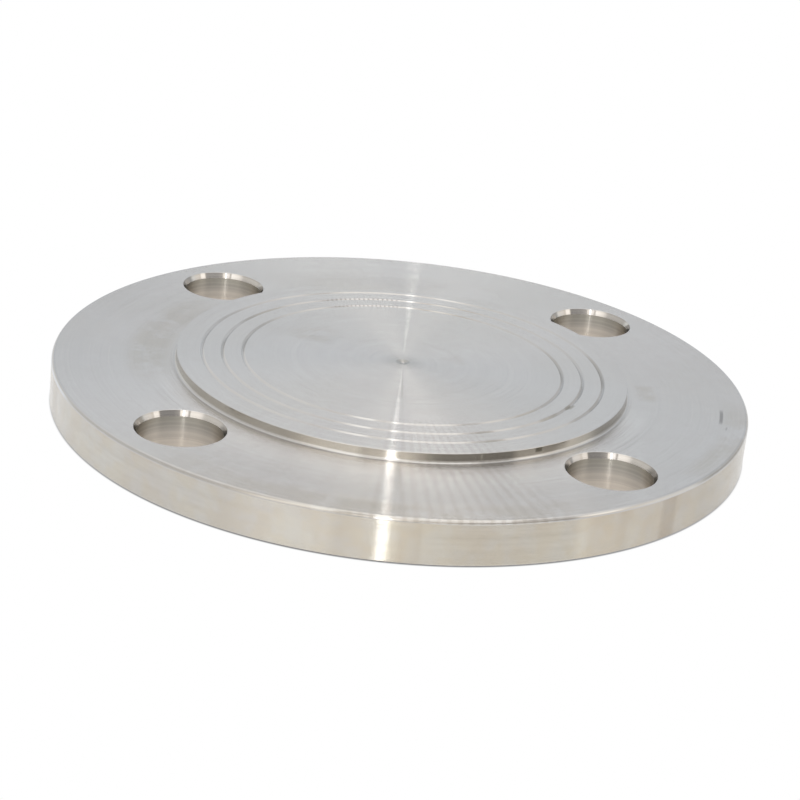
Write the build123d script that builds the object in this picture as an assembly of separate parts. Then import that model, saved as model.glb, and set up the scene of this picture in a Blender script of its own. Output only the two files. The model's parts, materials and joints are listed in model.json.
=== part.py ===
from build123d import *
import os

# A blind flange: one round steel blank, turned all over and drilled for four bolts.
# Frame: origin at the centre of the flat back face, +Z out through the raised sealing face.
# The bolt holes straddle the X and Y axes. Millimetres.

# Driving dimensions
OUTER_DIAMETER = 154.0
TOTAL_THICKNESS = 12.0
RAISED_FACE_DIAMETER = 100.0
RAISED_FACE_HEIGHT = 2.2
BOLT_CIRCLE_DIAMETER = 125.0
BOLT_HOLE_DIAMETER = 18.0
BOLT_HOLE_COUNT = 4
FIRST_BOLT_ANGLE = 45.0

# Edge breaks, and the radius where the raised face meets the plate
RIM_TOP_RADIUS = 0.8
RIM_BOTTOM_CHAMFER = 0.3
FACE_EDGE_CHAMFER = 0.2
FACE_ROOT_RADIUS = 0.6
HOLE_CHAMFER_WIDTH = 0.6
HOLE_CHAMFER_DEPTH = 1.2
HOLE_BACK_CHAMFER = 0.3

# Three V grooves turned in the sealing face, and the mark of the lathe centre
GROOVE_DIAMETERS = (71.0, 80.0, 89.0)
GROOVE_WIDTH = 0.9
GROOVE_DEPTH = 0.4
CENTRE_MARK_DIAMETER = 3.0
CENTRE_MARK_DEPTH = 0.4

# Derived sizes
RIM_RADIUS = OUTER_DIAMETER / 2
FACE_RADIUS = RAISED_FACE_DIAMETER / 2
PLATE_TOP = TOTAL_THICKNESS - RAISED_FACE_HEIGHT
BOLT_CIRCLE_RADIUS = BOLT_CIRCLE_DIAMETER / 2
HOLE_RADIUS = BOLT_HOLE_DIAMETER / 2
OVERCUT = 1.0  # how far a cutter runs past the face that it opens


def revolved(points):
    """Turn a closed outline of (radius, height) points about the Z axis."""
    outline = Polyline(*[(radius, 0, height) for radius, height in points], close=True)
    return revolve(make_face(outline), Axis.Z)


def level_circles(blank):
    """The circular edges at the height of the plate's top, smallest first."""
    circles = blank.edges().filter_by(GeomType.CIRCLE)
    return circles.filter_by_position(Axis.Z, PLATE_TOP, PLATE_TOP).sort_by(SortBy.RADIUS)


def turned_blank():
    """The plate with its rounded rim and the raised face on top of it."""
    blank = revolved([
        (0, 0),
        (RIM_RADIUS - RIM_BOTTOM_CHAMFER, 0),
        (RIM_RADIUS, RIM_BOTTOM_CHAMFER),
        (RIM_RADIUS, PLATE_TOP),
        (FACE_RADIUS, PLATE_TOP),
        (FACE_RADIUS, TOTAL_THICKNESS - FACE_EDGE_CHAMFER),
        (FACE_RADIUS - FACE_EDGE_CHAMFER, TOTAL_THICKNESS),
        (0, TOTAL_THICKNESS),
    ])
    blank = fillet(level_circles(blank)[0], FACE_ROOT_RADIUS)
    return fillet(level_circles(blank)[-1], RIM_TOP_RADIUS)


def groove_cutter(diameter):
    """A ring of V section that opens at the sealing face."""
    radius = diameter / 2
    slope = GROOVE_WIDTH / 2 / GROOVE_DEPTH
    half_width = GROOVE_WIDTH / 2 + slope * OVERCUT
    return revolved([
        (radius - half_width, TOTAL_THICKNESS + OVERCUT),
        (radius, TOTAL_THICKNESS - GROOVE_DEPTH),
        (radius + half_width, TOTAL_THICKNESS + OVERCUT),
    ])


def centre_mark_cutter():
    """The cone that the lathe centre left in the middle of the sealing face."""
    slope = CENTRE_MARK_DIAMETER / 2 / CENTRE_MARK_DEPTH
    return revolved([
        (0, TOTAL_THICKNESS - CENTRE_MARK_DEPTH),
        (CENTRE_MARK_DIAMETER / 2 + slope * OVERCUT, TOTAL_THICKNESS + OVERCUT),
        (0, TOTAL_THICKNESS + OVERCUT),
    ])


def bolt_hole_cutter():
    """A through hole, chamfered where the drill entered and broke out."""
    flare = HOLE_CHAMFER_WIDTH / HOLE_CHAMFER_DEPTH * OVERCUT
    return revolved([
        (0, -OVERCUT),
        (HOLE_RADIUS + HOLE_BACK_CHAMFER + OVERCUT, -OVERCUT),
        (HOLE_RADIUS, HOLE_BACK_CHAMFER),
        (HOLE_RADIUS, PLATE_TOP - HOLE_CHAMFER_DEPTH),
        (HOLE_RADIUS + HOLE_CHAMFER_WIDTH + flare, PLATE_TOP + OVERCUT),
        (0, PLATE_TOP + OVERCUT),
    ])


def blind_flange():
    """The whole part, which is one solid piece of steel."""
    flange = turned_blank()
    for diameter in GROOVE_DIAMETERS:
        flange -= groove_cutter(diameter)
    flange -= centre_mark_cutter()
    places = PolarLocations(BOLT_CIRCLE_RADIUS, BOLT_HOLE_COUNT, FIRST_BOLT_ANGLE)
    for place in places:
        flange -= place * bolt_hole_cutter()
    return flange.solid()


os.makedirs("parts", exist_ok=True)
export_step(blind_flange(), "parts/blind_flange.step")
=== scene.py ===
import json
import math

import bpy
from mathutils import Matrix, Vector


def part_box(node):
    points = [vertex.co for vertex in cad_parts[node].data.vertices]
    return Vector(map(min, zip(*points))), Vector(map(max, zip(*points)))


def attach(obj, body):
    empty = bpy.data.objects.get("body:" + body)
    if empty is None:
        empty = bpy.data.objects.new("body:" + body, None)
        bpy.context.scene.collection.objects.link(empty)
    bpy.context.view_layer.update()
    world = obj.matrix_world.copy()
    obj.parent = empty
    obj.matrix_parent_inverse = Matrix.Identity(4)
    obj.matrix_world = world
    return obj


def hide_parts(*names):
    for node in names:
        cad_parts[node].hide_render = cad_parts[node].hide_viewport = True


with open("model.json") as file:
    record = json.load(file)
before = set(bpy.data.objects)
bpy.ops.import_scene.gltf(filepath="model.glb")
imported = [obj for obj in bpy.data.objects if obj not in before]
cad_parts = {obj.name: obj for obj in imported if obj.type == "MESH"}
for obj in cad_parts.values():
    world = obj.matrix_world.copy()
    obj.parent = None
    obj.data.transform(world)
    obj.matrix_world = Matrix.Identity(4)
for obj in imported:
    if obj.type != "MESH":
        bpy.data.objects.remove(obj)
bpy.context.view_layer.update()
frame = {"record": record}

MM = 0.001
NODE = "blind_flange"

# Sizes in metres. The outer size and the bolt holes are read from the frame.
node_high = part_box(NODE)[1]
bolts = next(m for m in frame["record"]["mounts"] if m["name"] == "bolt_holes")["dims"]
RIM_RADIUS = node_high.x
FACE_TOP = node_high.z
HOLE_CIRCLE = bolts["pcd_mm"] / 2 * MM
HOLE_RADIUS = bolts["hole_r_mm"] * MM
HOLE_COUNT = bolts["count"]
FACE_RADIUS = 50 * MM
PLATE_TOP = FACE_TOP - 2.2 * MM
ROOT_RADIUS = 0.6 * MM
RIM_TOP_RADIUS = 0.8 * MM
RIM_BACK_CHAMFER = 0.3 * MM
HOLE_CHAMFER_WIDTH = 0.6 * MM
HOLE_CHAMFER_DEPTH = 1.2 * MM
HOLE_BACK_CHAMFER = 0.3 * MM
GROOVE_RADII = (35.5 * MM, 40.0 * MM, 44.5 * MM)
GROOVE_HALF_WIDTH = 0.45 * MM
GROOVE_DEPTH = 0.4 * MM
MARK_RADIUS = 1.5 * MM
MARK_DEPTH = 0.4 * MM
SHARP = 0.08 * MM  # radius of a sharp edge
EASED = 0.15 * MM  # radius of a softer edge

# The flat ring round the raised face, from its inner to its outer radius, and its openings
RING_INNER = FACE_RADIUS + ROOT_RADIUS * 1.5
RING_OUTER = RIM_RADIUS - RIM_TOP_RADIUS * 1.5
OPENING_RADIUS = HOLE_RADIUS + HOLE_CHAMFER_WIDTH * 1.5

# How the mesh is divided
TURN_STEPS = 576  # round the axis
PATCH_STEPS = 64  # of those, beside each bolt hole
SIDE_STEPS = 16  # across the flat ring
PATCH_LAYERS = 9  # from the opening of a bolt hole to the border of its patch
ARC_STEPS = 4  # in the rounding of a corner
WIDE_ARC_STEPS = 12  # in the rounding of a corner of a wide radius
WIDE_ARC_RADIUS = 0.5 * MM

# Finish of each zone of the mesh
FACE, RIM, WALL, EDGE, BORE, LIP = range(6)


def left_of(heading):
    """Unit vector on the left of a direction of travel."""
    return Vector((-math.sin(heading), math.cos(heading)))


def rounded(corners):
    """Points (place, normal, zone) along an outline whose corners are rounded.

    A corner is (u, z, radius, zone), where zone is the finish of the run that leaves it.
    The solid lies on the right of the direction of travel, so normals point left."""
    places = [Vector(corner[:2]) for corner in corners]
    headings = [math.atan2(*(b - a).yx) for a, b in zip(places, places[1:])]
    points = [(places[0], left_of(headings[0]), corners[0][3])]
    for i in range(1, len(corners) - 1):
        radius, zone = corners[i][2:]
        turn = math.remainder(headings[i] - headings[i - 1], 2 * math.pi)
        reach = radius * math.tan(abs(turn) / 2)
        into = Vector((math.cos(headings[i - 1]), math.sin(headings[i - 1])))
        side = math.copysign(radius, turn)
        centre = places[i] - into * reach + left_of(headings[i - 1]) * side
        steps = ARC_STEPS if radius < WIDE_ARC_RADIUS else WIDE_ARC_STEPS
        for k in range(steps + 1):
            normal = left_of(headings[i - 1] + turn * k / steps)
            points.append((centre - normal * side, normal, zone if k == steps else EDGE))
    points.append((places[-1], left_of(headings[-1]), corners[-1][3]))
    return points


class Shell:
    """Vertices with their exact normals, and faces with their zones."""

    def __init__(self):
        self.places = []
        self.normals = []
        self.faces = []
        self.zones = []

    def vertex(self, place, normal):
        self.places.append(place)
        self.normals.append(normal)
        return len(self.places) - 1

    def face(self, corners, zone):
        self.faces.append(corners)
        self.zones.append(zone)

    def ring(self, point, directions, centre=(0, 0)):
        """Vertices on a circle about centre, one in each direction."""
        place, normal = point[:2]
        return [
            self.vertex(
                (centre[0] + place.x * c, centre[1] + place.x * s, place.y),
                (normal.x * c, normal.x * s, normal.y),
            )
            for c, s in directions
        ]

    def bridge(self, near, far, zone):
        """Quads between two closed rings, from near to far."""
        for k, corner in enumerate(near):
            after = (k + 1) % len(near)
            self.face((corner, far[k], far[after], near[after]), zone)

    def sweep(self, points, directions, first=None, centre=(0, 0)):
        """Rings along an outline, bridged. Returns the first ring and the last one."""
        rings = [first] if first else []
        rings += [self.ring(point, directions, centre) for point in points[len(rings):]]
        for k in range(len(rings) - 1):
            self.bridge(rings[k], rings[k + 1], points[k][2])
        return rings[0], rings[-1]


def circle_directions(steps):
    angles = [2 * math.pi * k / steps for k in range(steps)]
    return [(math.cos(angle), math.sin(angle)) for angle in angles]


def eased(share):
    """Places lines closer together near 0."""
    return share ** 1.5


def sealing_outline():
    """From beside the lathe mark, over the grooved face and down its side, to the plate."""
    corners = [
        (MARK_RADIUS / 4, FACE_TOP - MARK_DEPTH * 3 / 4, 0, FACE),
        (MARK_RADIUS, FACE_TOP, EASED * 4, FACE),
        (MARK_RADIUS * 4, FACE_TOP, 0, FACE),
    ]
    for radius in GROOVE_RADII:
        corners += [
            (radius - GROOVE_HALF_WIDTH, FACE_TOP, SHARP, EDGE),
            (radius, FACE_TOP - GROOVE_DEPTH, SHARP, EDGE),
            (radius + GROOVE_HALF_WIDTH, FACE_TOP, SHARP, FACE),
        ]
    corners += [
        (FACE_RADIUS, FACE_TOP, EASED, WALL),
        (FACE_RADIUS, PLATE_TOP, ROOT_RADIUS, FACE),
        (RING_INNER, PLATE_TOP, 0, FACE),
    ]
    return rounded(corners)


def rim_outline():
    """From the plate's top, over the rim, to its back."""
    return rounded([
        (RING_OUTER, PLATE_TOP, 0, FACE),
        (RIM_RADIUS, PLATE_TOP, RIM_TOP_RADIUS, RIM),
        (RIM_RADIUS, RIM_BACK_CHAMFER, EASED, EDGE),
        (RIM_RADIUS - RIM_BACK_CHAMFER, 0, EASED, FACE),
        (RING_OUTER, 0, 0, FACE),
    ])


def hole_outline():
    """From the back, up through a bolt hole, to the plate's top."""
    return rounded([
        (OPENING_RADIUS, 0, 0, FACE),
        (HOLE_RADIUS + HOLE_BACK_CHAMFER, 0, SHARP, LIP),
        (HOLE_RADIUS, HOLE_BACK_CHAMFER, SHARP, BORE),
        (HOLE_RADIUS, PLATE_TOP - HOLE_CHAMFER_DEPTH, SHARP, LIP),
        (HOLE_RADIUS + HOLE_CHAMFER_WIDTH, PLATE_TOP, SHARP, FACE),
        (OPENING_RADIUS, PLATE_TOP, 0, FACE),
    ])


def hole_centres():
    angles = [2 * math.pi * (k + 0.5) / HOLE_COUNT for k in range(HOLE_COUNT)]
    return [(HOLE_CIRCLE * math.cos(a), HOLE_CIRCLE * math.sin(a)) for a in angles]


class DrilledRing:
    """A flat ring between two circles of vertices, with a round opening for each bolt hole."""

    def __init__(self, shell, inner, outer, up):
        """up is 1 for the plate's top and -1 for its back."""
        self.shell = shell
        self.inner = inner
        self.outer = outer
        self.up = up
        self.hole_step = TURN_STEPS // HOLE_COUNT
        self.edge_step = (self.hole_step - PATCH_STEPS) // 2
        self.columns = {}

    def vertex(self, place):
        return self.shell.vertex(place, (0, 0, self.up))

    def between(self, a, b, share):
        start, end = Vector(self.shell.places[a]), Vector(self.shell.places[b])
        return self.vertex(start.lerp(end, share))

    def quad(self, *corners):
        self.shell.face(corners if self.up > 0 else corners[::-1], FACE)

    def column(self, k):
        """Vertices from the inner circle to the outer one."""
        near, far = self.inner[k], self.outer[k]
        shares = [step / SIDE_STEPS for step in range(1, SIDE_STEPS)]
        return [near, *(self.between(near, far, share) for share in shares), far]

    def fill_sides(self):
        """Quads over the stretches between the patches of the bolt holes."""
        for k in range(TURN_STEPS):
            if not self.edge_step < k % self.hole_step < self.hole_step - self.edge_step:
                self.columns[k] = self.column(k)
        for k, here in self.columns.items():
            after = (k + 1) % TURN_STEPS
            if after in self.columns:
                there = self.columns[after]
                for corners in zip(here, here[1:], there[1:], there):
                    self.quad(*corners)

    def border(self, number):
        """The vertices around the patch of one bolt hole."""
        start = number * self.hole_step + self.edge_step
        end = start + PATCH_STEPS
        border = self.columns[start] + self.outer[start + 1:end]
        return border + self.columns[end][::-1] + self.inner[start + 1:end][::-1]

    def fill_patch(self, border, centre):
        """Quads from the border to a round opening in its middle. Returns the opening."""
        middle = Vector((*centre, self.shell.places[border[0]][2]))
        places = []
        for corner in border:
            outward = (Vector(self.shell.places[corner]) - middle).normalized()
            places.append(middle + outward * OPENING_RADIUS)
        opening = [self.vertex(place) for place in places]
        rings = [opening]
        for layer in range(1, PATCH_LAYERS):
            share = eased(layer / PATCH_LAYERS)
            rings.append([self.between(a, b, share) for a, b in zip(opening, border)])
        rings.append(border)
        for near, far in zip(rings, rings[1:]):
            for i in range(len(near)):
                j = (i + 1) % len(near)
                self.quad(near[i], far[i], far[j], near[j])
        return opening


def drilled_ring(shell, inner, outer, up):
    """Builds the plate's flat top or back. Returns its openings' rings of vertices."""
    ring = DrilledRing(shell, inner, outer, up)
    ring.fill_sides()
    centres = enumerate(hole_centres())
    return [ring.fill_patch(ring.border(number), centre) for number, centre in centres]


def close_middle(shell, ring, up, depth):
    """Fills a small circle with a fan of faces about one vertex."""
    height = shell.places[ring[0]][2] - up * depth
    middle = shell.vertex((0, 0, height), (0, 0, up))
    for k, corner in enumerate(ring):
        after = ring[(k + 1) % len(ring)]
        shell.face((middle, corner, after) if up > 0 else (middle, after, corner), FACE)


def flange_shell():
    """The whole flange as one closed skin."""
    shell = Shell()
    around = circle_directions(TURN_STEPS)
    first, root = shell.sweep(sealing_outline(), around)
    close_middle(shell, first, 1, MARK_DEPTH / 4)
    top_edge, back_edge = shell.sweep(rim_outline(), around)
    back_points = [
        (Vector((RING_INNER, 0)), Vector((0, -1)), FACE),
        (Vector((FACE_RADIUS / 2, 0)), Vector((0, -1)), FACE),
        (Vector((MARK_RADIUS, 0)), Vector((0, -1)), FACE),
    ]
    back_inner, back_last = shell.sweep(back_points, around)
    close_middle(shell, back_last, -1, 0)
    top_openings = drilled_ring(shell, root, top_edge, 1)
    back_openings = drilled_ring(shell, back_inner, back_edge, -1)
    for centre, top, back in zip(hole_centres(), top_openings, back_openings):
        directions = []
        for corner in back:
            offset = Vector(shell.places[corner][:2]) - Vector(centre)
            directions.append(tuple(offset.normalized()))
        points = hole_outline()
        last = shell.sweep(points[:-1], directions, first=back, centre=centre)[1]
        shell.bridge(last, top, FACE)
    return shell


def make_flange(materials):
    shell = flange_shell()
    mesh = bpy.data.meshes.new("turned_flange")
    mesh.from_pydata(shell.places, [], shell.faces)
    mesh.validate()
    mesh.polygons.foreach_set("material_index", shell.zones)
    mesh.polygons.foreach_set("use_smooth", [True] * len(shell.zones))
    for material in materials:
        mesh.materials.append(material)
    mesh.normals_split_custom_set_from_vertices([Vector(n).normalized() for n in shell.normals])
    flange = bpy.data.objects.new("turned_flange", mesh)
    bpy.context.scene.collection.objects.link(flange)
    return flange


class Graph:
    """Adds and links the nodes of one shader tree, so that each step is one line."""

    def __init__(self, tree):
        self.tree = tree
        tree.nodes.clear()

    def feed(self, socket, value):
        if isinstance(value, bpy.types.NodeSocket):
            self.tree.links.new(value, socket)
        else:
            socket.default_value = value

    def node(self, kind, inputs=None, **settings):
        node = self.tree.nodes.new("ShaderNode" + kind)
        for key, value in settings.items():
            setattr(node, key, value)
        for key, value in (inputs or {}).items():
            self.feed(node.inputs[key], value)
        return node

    def maths(self, operation, *values):
        node = self.node("Math", operation=operation)
        for socket, value in zip(node.inputs, values):
            self.feed(socket, value)
        return node.outputs[0]

    def times(self, first, second):
        return self.maths("MULTIPLY", first, second)

    def vector(self, operation, *values):
        node = self.node("VectorMath", operation=operation)
        sockets = [s for s in node.inputs if s.enabled]
        for socket, value in zip(sockets, values):
            self.feed(socket, value)
        return next(s for s in node.outputs if s.enabled)

    def combine(self, x, y, z):
        return self.node("CombineXYZ", {"X": x, "Y": y, "Z": z}).outputs[0]

    def noise(self, place, scale, detail=2.0, roughness=0.5):
        inputs = {"Vector": place, "Scale": scale, "Detail": detail, "Roughness": roughness}
        return self.node("TexNoise", inputs).outputs["Fac"]

    def band(self, value, low, high, floor=0.0, ceiling=1.0):
        """Smooth step from floor to ceiling as value goes from low to high."""
        node = self.node("MapRange", interpolation_type="SMOOTHSTEP")
        sockets = (value, low, high, floor, ceiling)
        for key, number in zip(("Value", "From Min", "From Max", "To Min", "To Max"), sockets):
            self.feed(node.inputs[key], number)
        return node.outputs["Result"]

    def mix(self, share, first, second, blend="MIX"):
        node = self.node("Mix", data_type="RGBA", blend_type=blend)
        colours = [s for s in node.inputs if s.type == "RGBA"]
        self.feed(node.inputs["Factor"], share)
        self.feed(colours[0], first)
        self.feed(colours[1], second)
        return next(s for s in node.outputs if s.type == "RGBA")

    def tint(self, share, colour, factors):
        """The colour, multiplied by three factors where share is 1."""
        return self.mix(share, colour, (*factors, 1), "MULTIPLY")


class Turned:
    """Where a point lies about the flange's axis, for one shader."""

    def __init__(self, graph):
        self.graph = graph
        self.place = graph.node("TexCoord").outputs["Object"]
        parts = graph.node("SeparateXYZ", {"Vector": self.place}).outputs
        flat = graph.combine(parts["X"], parts["Y"], 0.0)
        self.height = parts["Z"]
        self.radius = graph.vector("LENGTH", flat)
        self.way = graph.vector("NORMALIZE", flat)
        self.angle = graph.maths("ARCTAN2", parts["Y"], parts["X"])

    def sector(self, middle, half, core=0.3):
        """1 about a compass angle and 0 beyond half a width from it, all in degrees."""
        heading = math.radians(middle)
        aim = (math.cos(heading), math.sin(heading), 0.0)
        near = self.graph.vector("DOT_PRODUCT", self.way, aim)
        edge, plateau = (math.cos(math.radians(share * half)) for share in (1, core))
        return self.graph.band(near, edge, plateau)

    def ring(self, middle, half, core=0.3):
        """1 about a radius and 0 beyond half a width from it, in millimetres."""
        gap = self.graph.maths("SUBTRACT", self.radius, middle * MM)
        gap = self.graph.maths("ABSOLUTE", gap)
        return self.graph.band(gap, half * MM, core * half * MM)

    def marks(self, places):
        """The strongest of several marks, each (radius, half width, angle, half length, depth)."""
        strongest = 0.0
        for radius, half_width, angle, half_length, depth in places:
            mark = self.graph.times(self.ring(radius, half_width), depth)
            mark = self.graph.times(mark, self.sector(angle, half_length))
            strongest = self.graph.maths("MAXIMUM", strongest, mark)
        return strongest


# Marks: radius and half width in mm, compass angle and half length in degrees, depth
STAINS = (
    (56.0, 6.5, 172, 34, 0.7),
    (24.0, 8.0, 148, 16, 0.5),
    (54.5, 3.0, 1, 6, 0.6),
    (12.0, 4.0, 20, 18, 0.3),
    (76.0, 9.0, 268, 42, 0.55),
    (75.0, 5.0, 342, 22, 0.6),
)
# Painted shade over the bright streak near the centre and near the rim's front, on a patch at the
# back, along the raised face's root and on stretches of the grooves, in the same terms
SHADE_PATCHES = (
    (40.3, 1.0, 335, 2.5, 1.0),
    (40.0, 0.9, 323, 6, 0.6),
    (40.0, 0.8, 297, 4, 0.4),
    (44.5, 0.8, 297, 4, 0.35),
    (44.5, 0.6, 8, 16, 0.5),
    (44.5, 0.6, 341, 6, 0.3),
    (35.5, 0.6, 12, 20, 0.35),
    (35.5, 0.6, 320, 8, 0.45),
    (40.0, 0.6, 350, 8, 0.3),
    (40.0, 0.7, 146, 13, 0.5),
    (40.0, 0.6, 183, 10, 0.3),
    (44.5, 0.6, 150, 16, 0.2),
    (35.5, 0.7, 165, 28, 0.25),
    (35.5, 0.7, 76, 14, 0.45),
    (40.0, 0.7, 76, 14, 0.35),
    (54.0, 13.0, 101, 24, 0.24),
    (14.0, 10.0, 270, 3, 0.15),
    (74.0, 4.0, 264.5, 4.5, 0.25),
    (50.4, 0.8, 55, 7, 0.4),
)
NICKS = (
    (71.0, 0.55, 353, 4.0, 0.8),
    (72.5, 0.3, 348, 1.0, 0.35),
)
# Painted shade: darker stretches of the rim and of the raised face's side, in the same terms
RIM_DIPS = (
    (77.0, 5.0, 316.5, 2.2, 1.0),
    (77.0, 5.0, 198, 3, 1.0),
    (77.0, 5.0, 304, 5, 0.7),
    (77.0, 5.0, 273, 2.2, 0.6),
)
WALL_DIPS = (
    (50.0, 3.0, 330, 15, 0.45),
    (50.0, 3.0, 251, 14, 0.35),
)
RAY_COUNT = 170  # rays in one turn of the face: chatter marks of the shaking tool, and painted reflection
DASH_COUNT = 224  # and in one turn of the rim's edge and the grooves

# Factors by which the marks, the unevenness of the steel and some painted shade and reflection
# multiply its colour
STAIN_TINT = (0.86, 0.83, 0.77)
# painted shade, for the darker patches and groove stretches listed above
SHADE_PATCH_TINT = (0.62, 0.6, 0.54)
NICK_TINT = (0.4, 0.4, 0.4)
DENT_TINT = (0.4, 0.39, 0.35)
SCRATCH_TINT = (1.35, 1.35, 1.35)
# painted shade about the lathe mark
CENTRE_SHADE_TINT = (0.4, 0.42, 0.38)
# rays, partly chatter marks and partly painted reflection
CHATTER_AND_REFLECTION_TINT = (0.945, 0.935, 0.93)
# dashes and dots, partly chatter marks and partly painted reflection
DASH_TINT = (0.92, 0.91, 0.90)
DOT_TINT = (0.72, 0.71, 0.71)
BROAD_CLOUD_TINT = (0.975, 0.975, 0.965)
SMALL_CLOUD_TINT = (0.99, 0.985, 0.985)
RIM_CLOUD_TINT = (0.96, 0.95, 0.95)
BLOOM_TINT = (1.0, 0.975, 0.93)
DRILL_TINT = (0.85, 0.85, 0.85)

# The same, for painted highlights, reflections and shade in fixed places, which the painted studio
# light lacks
PAINTED_SHEEN_TINT = (1.26, 1.26, 1.27)
LEFT_GROOVE_HIGHLIGHT_TINT = (1.17, 1.17, 1.17)
FRONT_FOOT_TINT = (1.25, 1.25, 1.25)
LEFT_FOOT_TINT = (1.15, 1.18, 1.25)
WALL_RIGHT_TINT = (0.57, 0.57, 0.57)
WALL_DIP_TINT = (0.7, 0.7, 0.7)
RIM_LEFT_TINT = (0.99, 1.01, 1.06)
RIM_RIGHT_TINT = (0.84, 0.83, 0.83)
RIM_DIP_TINT = (0.88, 0.86, 0.84)
BORE_NEAR_TINT = (0.88, 0.89, 0.87)
BORE_DEEP_TINT = (1.36, 1.29, 1.22)


def chatter_and_reflection(turned):
    """Rays across the front of the face, fainter ones at its back and loose ones to the front left:
    partly chatter marks from a tool that shook, partly painted reflection.
    """
    graph = turned.graph
    waves = graph.maths("SINE", graph.times(turned.angle, RAY_COUNT))
    uneven = graph.noise(turned.way, 40.0)
    strength = graph.band(uneven, 0.2, 0.6, 0.5, 1.0)
    rays = graph.times(graph.band(waves, -0.6, 0.9), strength)
    rays = graph.times(rays, turned.sector(281, 19, 0.6))
    back = graph.times(graph.band(waves, -0.8, 1.0), turned.sector(96, 16))
    rays = graph.maths("MAXIMUM", rays, graph.times(back, 0.25))
    loose = graph.times(graph.band(uneven, 0.45, 0.65), turned.sector(243, 24))
    rays = graph.maths("MAXIMUM", rays, graph.times(loose, 0.5))
    rays = graph.times(rays, graph.band(turned.radius, 14 * MM, 56 * MM))
    return graph.times(rays, graph.band(turned.radius, 100 * MM, 65 * MM))


def clouds(turned, size):
    """Soft uneven patches, of about the given size."""
    return turned.graph.band(turned.graph.noise(turned.place, 1 / size), 0.35, 0.65)


def centre_shade(turned):
    """Painted shade in a ring about the lathe mark, with a painted highlight at its bottom."""
    graph = turned.graph
    soft = graph.band(turned.radius, 6.0 * MM, 1.0 * MM, 0.0, 0.25)
    dark = graph.band(turned.radius, 2.4 * MM, 1.2 * MM, 0.0, 0.45)
    bright = graph.band(turned.radius, 0.7 * MM, 0.3 * MM, 1.0, 0.2)
    return graph.times(graph.maths("MAXIMUM", soft, dark), bright)


def painted_sheen(turned):
    """Painted sheen: the brighter stretch of the plate in front of the raised face and beside it,
    left out along the bright streak at the front.
    """
    graph = turned.graph
    inner = graph.band(turned.radius, 50.6 * MM, 51.2 * MM)
    # No painted sheen along the bright streak itself
    streak_gap = graph.maths("SUBTRACT", 1.0, turned.sector(270, 1.8, 0.4))
    wide = graph.band(turned.radius, 67 * MM, 54 * MM)
    wide = graph.times(wide, turned.sector(270, 66, 0.5))
    beside = graph.band(turned.radius, 57 * MM, 53 * MM, 0.0, 0.5)
    beside = graph.times(beside, turned.sector(272, 82, 0.8))
    share = graph.times(graph.maths("ADD", wide, beside), inner)
    return graph.times(share, streak_gap)


def face_colour(turned, colour):
    """Stained and scuffed steel of the turned faces, with painted sheen, painted shade, and rays
    that are partly chatter marks and partly painted reflection. The underside has clouds and stains
    only.
    """
    graph = turned.graph
    broken = graph.band(graph.noise(turned.place, 1 / (7 * MM), 4.0, 0.6), 0.3, 0.6)
    stains = graph.times(turned.marks(STAINS), broken)
    colour = graph.tint(clouds(turned, 20 * MM), colour, BROAD_CLOUD_TINT)
    colour = graph.tint(clouds(turned, 3 * MM), colour, SMALL_CLOUD_TINT)
    back = graph.tint(stains, colour, STAIN_TINT)
    # Painted sheen in front of and beside the raised face
    colour = graph.tint(painted_sheen(turned), back, PAINTED_SHEEN_TINT)
    # Rays, partly chatter marks and partly painted reflection
    colour = graph.tint(chatter_and_reflection(turned), colour, CHATTER_AND_REFLECTION_TINT)
    # Painted shade on darker patches and stretches of the grooves
    colour = graph.tint(turned.marks(SHADE_PATCHES), colour, SHADE_PATCH_TINT)
    colour = graph.tint(turned.marks(NICKS), colour, NICK_TINT)
    # Painted shade about the lathe mark, with a painted highlight at its bottom
    colour = graph.tint(centre_shade(turned), colour, CENTRE_SHADE_TINT)
    return graph.mix(graph.band(turned.height, 4 * MM, 6 * MM), back, colour)


def edge_colour(turned, colour):
    """Steel of the grooves and the small roundings, with rows of short dashes and dots, partly
    chatter marks and partly painted reflection.

    Painted highlights make it lighter in the grooves at the left, and in two stretches where edges
    meet the rim."""
    graph = turned.graph
    # Dashes and dots, partly chatter marks and partly painted reflection
    waves = graph.maths("SINE", graph.times(turned.angle, DASH_COUNT))
    dashes = graph.times(graph.band(waves, -0.4, 0.8), turned.sector(280, 20, 0.5))
    dashes = graph.times(dashes, graph.band(turned.radius, 74 * MM, 76 * MM))
    # Painted highlight: lighter grooves at the left
    patchy = graph.times(turned.ring(40, 7, 0.8), turned.sector(212, 38, 0.5))
    dots = graph.times(graph.band(waves, -0.4, 0.8), turned.sector(106, 15, 0.7))
    dots = graph.times(dots, turned.ring(37.7, 4, 0.9))
    colour = graph.tint(dashes, face_colour(turned, colour), DASH_TINT)
    colour = graph.tint(dots, colour, DOT_TINT)
    colour = graph.tint(patchy, colour, LEFT_GROOVE_HIGHLIGHT_TINT)
    # Painted highlights on two stretches of the foot of the rim's rounded edge
    foot = graph.band(turned.radius, RIM_RADIUS - 0.25 * MM, RIM_RADIUS - 0.1 * MM)
    front = graph.times(foot, turned.sector(285, 12, 0.5))
    colour = graph.tint(front, colour, FRONT_FOOT_TINT)
    left = graph.times(foot, turned.sector(190, 18, 0.7))
    return graph.tint(left, colour, LEFT_FOOT_TINT)


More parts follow.
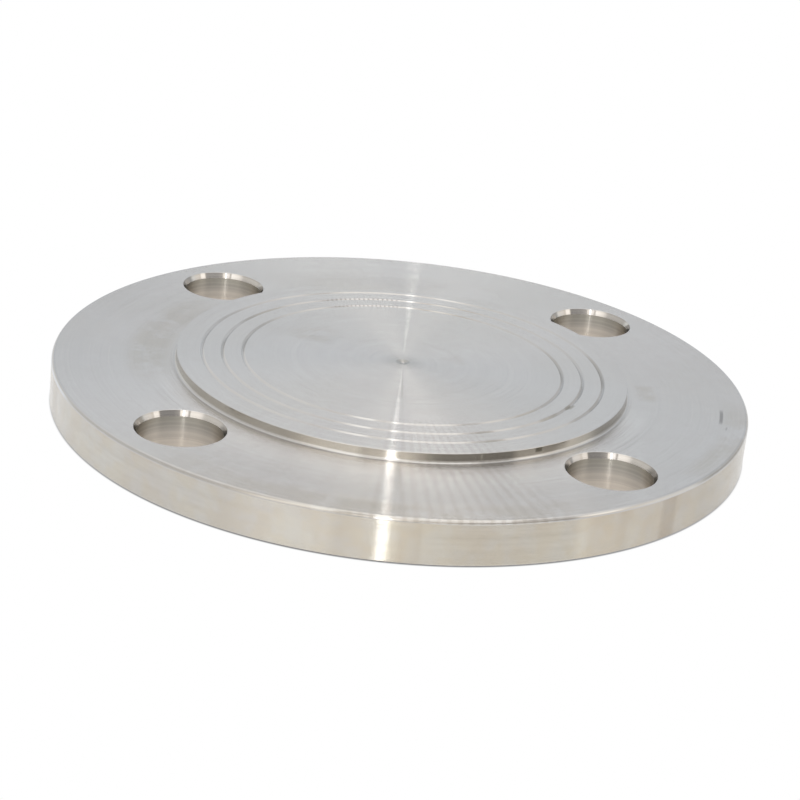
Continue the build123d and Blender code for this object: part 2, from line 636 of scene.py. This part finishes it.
def wall_colour(turned, colour):
    """Steel of the raised face's side, with a dent and a scratch, and painted shade: darker to the
    right and in dips.
    """
    graph = turned.graph
    # Painted shade, darker to the right and in the dips
    colour = graph.tint(turned.sector(295.3, 21.5, 0.65), colour, WALL_RIGHT_TINT)
    colour = graph.tint(turned.marks(WALL_DIPS), colour, WALL_DIP_TINT)
    above = graph.band(turned.height, PLATE_TOP + 0.9 * MM, PLATE_TOP + 1.3 * MM)
    dent = graph.times(turned.sector(305.8, 1.2, 0.5), above)
    colour = graph.tint(dent, colour, DENT_TINT)
    return graph.tint(turned.sector(290.4, 0.35, 0.5), colour, SCRATCH_TINT)


def rim_colour(turned, colour):
    """Steel of the rim with a gold bloom, and with a painted reflection that makes it bluer on the
    left and painted shade that makes it darker on the right and in dips.
    """
    graph = turned.graph
    # Painted reflection, bluer on the left; painted shade, darker on the right
    colour = graph.tint(turned.sector(205, 68, 0.6), colour, RIM_LEFT_TINT)
    colour = graph.tint(turned.sector(332, 30), colour, RIM_RIGHT_TINT)
    colour = graph.tint(clouds(turned, 9 * MM), colour, RIM_CLOUD_TINT)
    colour = graph.tint(clouds(turned, 4 * MM), colour, BLOOM_TINT)
    # Painted shade in the dips
    return graph.tint(turned.marks(RIM_DIPS), colour, RIM_DIP_TINT)


def drilled_colour(turned, colour):
    """Steel with rings of lighter and darker tone from the drill."""
    graph = turned.graph
    level = graph.times(turned.height, 1 / (0.9 * MM))
    tone = graph.node("TexNoise", {"W": level, "Scale": 1.0, "Detail": 2.0}, noise_dimensions="1D")
    share = graph.band(tone.outputs["Fac"], 0.3, 0.7)
    return graph.tint(share, colour, DRILL_TINT)


def bore_colour(turned, colour):
    """Drilled steel, with painted light: darker near the top, lighter and warmer towards the back,
    where the floor lights it.
    """
    graph = turned.graph
    colour = drilled_colour(turned, colour)
    # Painted shade near the top and painted light deeper down
    near = graph.band(turned.height, 5 * MM, 8.5 * MM)
    colour = graph.tint(near, colour, BORE_NEAR_TINT)
    deep = graph.band(turned.height, 7.5 * MM, 2 * MM)
    return graph.tint(deep, colour, BORE_DEEP_TINT)


def around_axis(graph, place):
    """Direction in which the lathe turned the surface."""
    return graph.vector("NORMALIZE", graph.vector("CROSS_PRODUCT", (0.0, 0.0, 1.0), place))


def around_hole(graph, place):
    """Direction in which the drill turned the surface of a bolt hole."""
    middle = HOLE_CIRCLE * math.sqrt(0.5)
    centre = graph.vector("MULTIPLY", graph.vector("SIGN", place), (middle, middle, 0.0))
    return around_axis(graph, graph.vector("SUBTRACT", place, centre))


def tool_marks(graph, along, level, slope, lean):
    """The normal, tilted across the marks by as much as their sides slope, and by lean."""
    normal = graph.node("NewGeometry").outputs["Normal"]
    across = graph.vector("NORMALIZE", graph.vector("CROSS_PRODUCT", normal, along))
    marks = graph.node("TexNoise", {"W": level, "Scale": 1.0, "Detail": 1.0}, noise_dimensions="1D")
    height = graph.maths("SUBTRACT", marks.outputs["Fac"], 0.5)
    tilt = graph.maths("MULTIPLY_ADD", height, slope * 4, lean)
    tilted = graph.vector("ADD", normal, graph.vector("SCALE", across, tilt))
    return graph.vector("NORMALIZE", tilted)


def steel(name, colour, paint, roughness, slope, feed, lean=0.0, hole=False):
    """Bright steel cut in circles. feed is the distance between two tool marks.

    hole says that the circles run round a bolt hole, not round the flange's axis."""
    material = bpy.data.materials.new(name)
    material.use_nodes = True
    graph = Graph(material.node_tree)
    turned = Turned(graph)
    around = around_hole if hole else around_axis
    along = around(graph, turned.place)
    level = turned.height if hole else graph.maths("SUBTRACT", turned.radius, turned.height)
    level = graph.times(level, 1 / feed)
    patchy = graph.band(graph.noise(turned.place, 1 / (12 * MM)), 0.3, 0.7, 0.92, 1.08)
    shader = graph.node("BsdfPrincipled", {
        "Base Color": paint(turned, (*colour, 1)),
        "Metallic": 1.0,
        "Roughness": graph.times(patchy, roughness),
        "Anisotropic": 1.0,
        "Anisotropic Rotation": 0.25,
        "Tangent": along,
        "Normal": tool_marks(graph, along, level, slope, lean),
    })
    out = graph.node("OutputMaterial")
    graph.feed(out.inputs["Surface"], shader.outputs[0])
    return material


FACE_STEEL = (0.58, 0.565, 0.557)
EDGE_STEEL = (0.56, 0.553, 0.55)
RIM_STEEL = (0.60, 0.57, 0.51)
WALL_STEEL = (0.54, 0.525, 0.485)
BORE_STEEL = (0.64, 0.612, 0.572)
face = dict(roughness=0.1, slope=0.45, feed=0.04 * MM, lean=-0.02)
rim = dict(roughness=0.14, slope=0.7, feed=0.01 * MM)
wall = dict(roughness=0.2, slope=0.10, feed=0.2 * MM)
edge = dict(roughness=0.2, slope=0.0, feed=0.2 * MM)
bore = dict(roughness=0.3, slope=0.05, feed=0.3 * MM, hole=True)
lip = dict(roughness=0.12, slope=0.02, feed=0.2 * MM, hole=True)
materials = [
    steel("turned_face", FACE_STEEL, face_colour, **face),
    steel("turned_rim", RIM_STEEL, rim_colour, **rim),
    steel("turned_wall", WALL_STEEL, wall_colour, **wall),
    steel("turned_edge", EDGE_STEEL, edge_colour, **edge),
    steel("drilled_bore", BORE_STEEL, bore_colour, **bore),
    steel("drilled_lip", FACE_STEEL, drilled_colour, **lip),
]
flange = make_flange(materials)
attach(flange, "root")
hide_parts(NODE)


# The floor, which gives its own light
FLOOR_REACH = 3.0  # metres
OPEN_LIGHT = 1.0
UNDER_LIGHT = 0.6
EDGE_LIGHT = 0.3  # just inside the rim


def make_floor():
    """A pale floor that gives its own light, with the flange's shadow painted on it."""
    signs = ((-1, -1), (1, -1), (1, 1), (-1, 1))
    corners = [(x * FLOOR_REACH, y * FLOOR_REACH, 0) for x, y in signs]
    mesh = bpy.data.meshes.new("floor")
    mesh.from_pydata(corners, [], [(0, 1, 2, 3)])
    floor = bpy.data.objects.new("floor", mesh)
    bpy.context.scene.collection.objects.link(floor)
    material = bpy.data.materials.new("pale_floor")
    material.use_nodes = True
    graph = Graph(material.node_tree)
    radius = Turned(graph).radius
    inside = (RIM_RADIUS - 3 * MM, RIM_RADIUS - 1 * MM)
    across = (RIM_RADIUS - 0.3 * MM, RIM_RADIUS + 0.3 * MM)
    under = graph.band(radius, *inside, UNDER_LIGHT, EDGE_LIGHT)
    beyond = graph.band(radius, *across, 0.0, OPEN_LIGHT - EDGE_LIGHT)
    light = graph.maths("ADD", under, beyond)
    shader = graph.node("Emission", {"Color": (1.0, 1.0, 1.0, 1.0), "Strength": light})
    out = graph.node("OutputMaterial")
    graph.feed(out.inputs["Surface"], shader.outputs[0])
    mesh.materials.append(material)


# The camera, as seen from the flange, and the direction in which it stands
CAMERA_TURN = math.radians(-0.615)
CAMERA_RISE = math.radians(22.005)
CAMERA_ROLL = math.radians(5.931)
CAMERA_DISTANCE = 513.52 * MM
CAMERA_RIGHT = 0.504 * MM  # aside from the line that runs to the flange's origin
CAMERA_UP = 2.610 * MM
CAMERA_LENS = 103.363  # focal length in millimetres
CAMERA_CLIP = 0.01  # metres
TO_CAMERA = Vector((
    math.sin(CAMERA_TURN) * math.cos(CAMERA_RISE),
    -math.cos(CAMERA_TURN) * math.cos(CAMERA_RISE),
    math.sin(CAMERA_RISE),
))
LAMP_SPACING = 2.15  # degrees of turn
ALL_ROUND = (-180, 180)


class Studio:
    """The light around the flange, painted patch by patch to give the photo's reflections.

    A direction is named by the facet that mirrors it towards TO_CAMERA, a fixed direction that
    is the same in every view. turn is the facet's compass angle in degrees, 0 to the front and
    positive to the right, and lean is how far the facet leans over, 0 when it faces up and 90
    when it is upright."""

    def __init__(self, graph, colour):
        self.graph = graph
        self.light = colour
        way = graph.node("TexCoord").outputs["Generated"]
        facet = graph.vector("ADD", way, tuple(TO_CAMERA))
        parts = graph.node("SeparateXYZ", {"Vector": facet}).outputs
        flat = graph.vector("LENGTH", graph.combine(parts["X"], parts["Y"], 0.0))
        ahead = graph.times(parts["Y"], -1.0)
        degrees = math.degrees(1)
        self.turn = graph.times(graph.maths("ARCTAN2", parts["X"], ahead), degrees)
        self.lean = graph.times(graph.maths("ARCTAN2", flat, parts["Z"]), degrees)

    def patch(self, colour, turns, leans, ends=(1, 1), edge=2, share=1.0):
        """Paints a range of turns and leans, with soft ends and edges."""
        graph = self.graph
        for value in (
            graph.band(self.turn, turns[0] - ends[0], turns[0] + ends[0]),
            graph.band(self.turn, turns[1] + ends[1], turns[1] - ends[1]),
            graph.band(self.lean, leans[0] - edge, leans[0] + edge),
            graph.band(self.lean, leans[1] + edge, leans[1] - edge),
        ):
            share = graph.times(share, value)
        self.light = graph.mix(share, self.light, (*colour, 1))


def back_wall(graph):
    """The wall that the level faces mirror: whitest low down in its middle."""
    way = graph.node("TexCoord").outputs["Generated"]
    parts = graph.node("SeparateXYZ", {"Vector": way}).outputs
    side = graph.maths("ABSOLUTE", graph.maths("ADD", parts["X"], TO_CAMERA.x))
    rise = graph.band(parts["Z"], 0.30, 0.46)
    middle = graph.mix(rise, (0.91, 0.96, 1.0, 1), (0.86, 0.85, 0.835, 1))
    return graph.mix(graph.band(side, 0.0, 0.25), middle, (0.72, 0.75, 0.785, 1))


def ceiling(studio):
    """Light overhead, which the tool marks on the level faces mirror."""
    studio.patch((1.3, 1.28, 1.24), (-60, 45), (14, 38), (30, 22), 5)


def ceiling_front(studio):
    """Light on the groove sides, and on the upper part of the rim's rounded edge."""
    patch = studio.patch
    patch((0.8, 0.79, 0.77), ALL_ROUND, (38, 52))
    patch((1.03, 1.02, 1.0), ALL_ROUND, (38, 43), (1, 1), 1)
    patch((1.02, 1.0, 0.98), (-75, 45), (38, 43), (8, 3), 1)
    patch((0.92, 0.91, 0.89), (-75, -31), (38, 43), (8, 4), 1)
    patch((0.9, 0.86, 0.8), (-30, 22), (43, 52), (15, 1))
    patch((1.27, 1.22, 1.16), (-17, 22), (38, 43), (1, 1), 0.7)
    patch((1.6, 1.58, 1.52), (-16, -8.5), (34, 56), (5, 0.7))
    patch((0.6, 0.58, 0.55), (22.5, 29), (43, 52), (0.7, 4))
    patch((1.25, 1.2, 1.14), (31, 42), (42, 58), (2, 2))
    patch((1.05, 1.02, 0.98), (44, 57), (43, 62), (2, 2))
    patch((0.47, 0.46, 0.45), (59, 95), (45, 58), (4, 10))


def front_wall(studio):
    """Light on the upright walls, in the bolt holes and on the foot of the rim's rounded edge."""
    patch = studio.patch
    patch((1.07, 1.08, 1.03), ALL_ROUND, (52, 100))
    patch((1.15, 1.07, 0.95), (-40, 50), (52, 100), (8, 5))
    patch((1.5, 1.4, 1.25), (-70, -40), (76, 100), (5, 5))
    patch((0.65, 0.63, 0.59), (-66, -24), (54, 76), (6, 5))
    patch((1.36, 1.29, 1.17), (-40, -17), (78, 100), (4, 2))
    patch((1.98, 1.93, 1.81), (-18, -8.5), (52, 100), (9, 0.7))
    patch((1.2, 1.13, 1.03), (-8.5, -1), (52, 76), (0.7, 1))
    patch((0.85, 0.8, 0.7), (-8.5, -1), (76, 100), (0.7, 1))
    patch((0.9, 0.86, 0.8), (5, 30.5), (54, 62), (4, 1))
    patch((0.37, 0.35, 0.315), (8.7, 30.5), (61, 76), (6, 1), 1)
    patch((2.0, 1.9, 1.72), (-0.2, 4), (62, 73), (0.5, 2), 1)
    patch((0.85, 0.79, 0.69), (-18, -8.5), (65, 74), (6, 0.7), 1)
    patch((1.0, 0.92, 0.8), (3, 42), (76, 100), (3, 4))
    patch((0.8, 0.78, 0.75), (1, 30.5), (59, 61), (1, 1), 1)
    patch((1.9, 1.8, 1.65), (31.5, 39), (52, 65), (1, 1))
    patch((1.04, 0.97, 0.87), (31.5, 40), (65, 76), (1, 1))
    patch((0.58, 0.54, 0.48), (0.3, 4), (75, 100), (0.5, 1))
    patch((0.78, 0.71, 0.6), (31.5, 41), (73, 100), (1, 2), 1)
    patch((0.5, 0.48, 0.46), (50, 180), (65, 100), (4, 4))
    patch((0.55, 0.54, 0.52), (59, 95), (52, 74), (4, 10))
    patch((1.25, 1.2, 1.12), (43, 57), (62, 76), (1, 2))


def lamps(studio):
    """A tall lamp in front, with a row of smaller ones beside it."""
    graph = studio.graph
    patch = studio.patch
    wave = graph.maths("SINE", graph.times(studio.turn, 2 * math.pi / LAMP_SPACING))
    row = graph.band(wave, -0.6, 0.9, 0.35, 1.0)
    dots = graph.band(wave, -0.3, 0.9)
    patch((2.03, 1.98, 1.91), (3, 21), (10, 36), (4, 9), 4, row)
    patch((1.8, 1.75, 1.65), (-12, -3), (10, 36), (8, 2), 4, row)
    patch((1.9, 1.84, 1.77), (1, 22), (32, 43), (1, 1), 1, dots)
    patch((1.6, 1.56, 1.5), (1, 20), (44, 55), (1, 1), 1)
    patch((3.7, 3.65, 3.55), (-1.8, -0.2), (12, 36), (0.5, 0.5), 4)
    patch((3.7, 3.65, 3.55), (-1.8, -0.2), (34, 41.5), (0.5, 0.5), 0.6)
    patch((4, 3.95, 3.85), (-1.8, -0.2), (47, 62), (0.5, 0.5), 3)
    patch((9, 8.9, 8.7), (-1.9, -0.1), (62, 80), (0.4, 0.4), 3)


def chamfer_lights(studio):
    """Light on the chamfers of the bolt holes, in turns bright and dim around each."""
    patch = studio.patch
    leans = (62.3, 65.7)
    patch((1.2, 1.15, 1.05), (-62, -28), leans, (5, 4), 0.6)
    patch((1.8, 1.72, 1.6), (-28, -9.7), leans, (4, 0.4), 0.6)
    patch((0.5, 0.48, 0.45), (-9.4, -7.3), leans, (0.4, 0.4), 0.6)
    patch((2.3, 2.25, 2.2), (-6.2, 0.2), leans, (0.5, 0.5), 0.6)
    patch((0.3, 0.29, 0.28), (3.8, 29), leans, (0.7, 1), 0.6)


def make_world():
    world = bpy.data.worlds.new("studio")
    bpy.context.scene.world = world
    world.use_nodes = True
    graph = Graph(world.node_tree)
    studio = Studio(graph, back_wall(graph))
    ceiling(studio)
    ceiling_front(studio)
    front_wall(studio)
    lamps(studio)
    chamfer_lights(studio)
    shader = graph.node("Background", {"Color": studio.light, "Strength": 1.0})
    out = graph.node("OutputWorld")
    graph.feed(out.inputs["Surface"], shader.outputs[0])


def make_camera():
    """A camera at the photo's angle, rolled a little to the left."""
    right = (-TO_CAMERA).cross(Vector((0, 0, 1))).normalized()
    up = right.cross(-TO_CAMERA)
    turned_right = right * math.cos(CAMERA_ROLL) + up * math.sin(CAMERA_ROLL)
    turned_up = -right * math.sin(CAMERA_ROLL) + up * math.cos(CAMERA_ROLL)
    place = TO_CAMERA * CAMERA_DISTANCE + turned_right * CAMERA_RIGHT + turned_up * CAMERA_UP
    data = bpy.data.cameras.new("camera")
    data.lens = CAMERA_LENS
    data.clip_start = CAMERA_CLIP
    camera = bpy.data.objects.new("camera", data)
    basis = Matrix((turned_right, turned_up, TO_CAMERA)).transposed()
    camera.matrix_world = Matrix.Translation(place) @ basis.to_4x4()
    bpy.context.scene.collection.objects.link(camera)
    bpy.context.scene.camera = camera


make_floor()
make_world()
make_camera()
bpy.context.scene.view_settings.view_transform = "Standard"
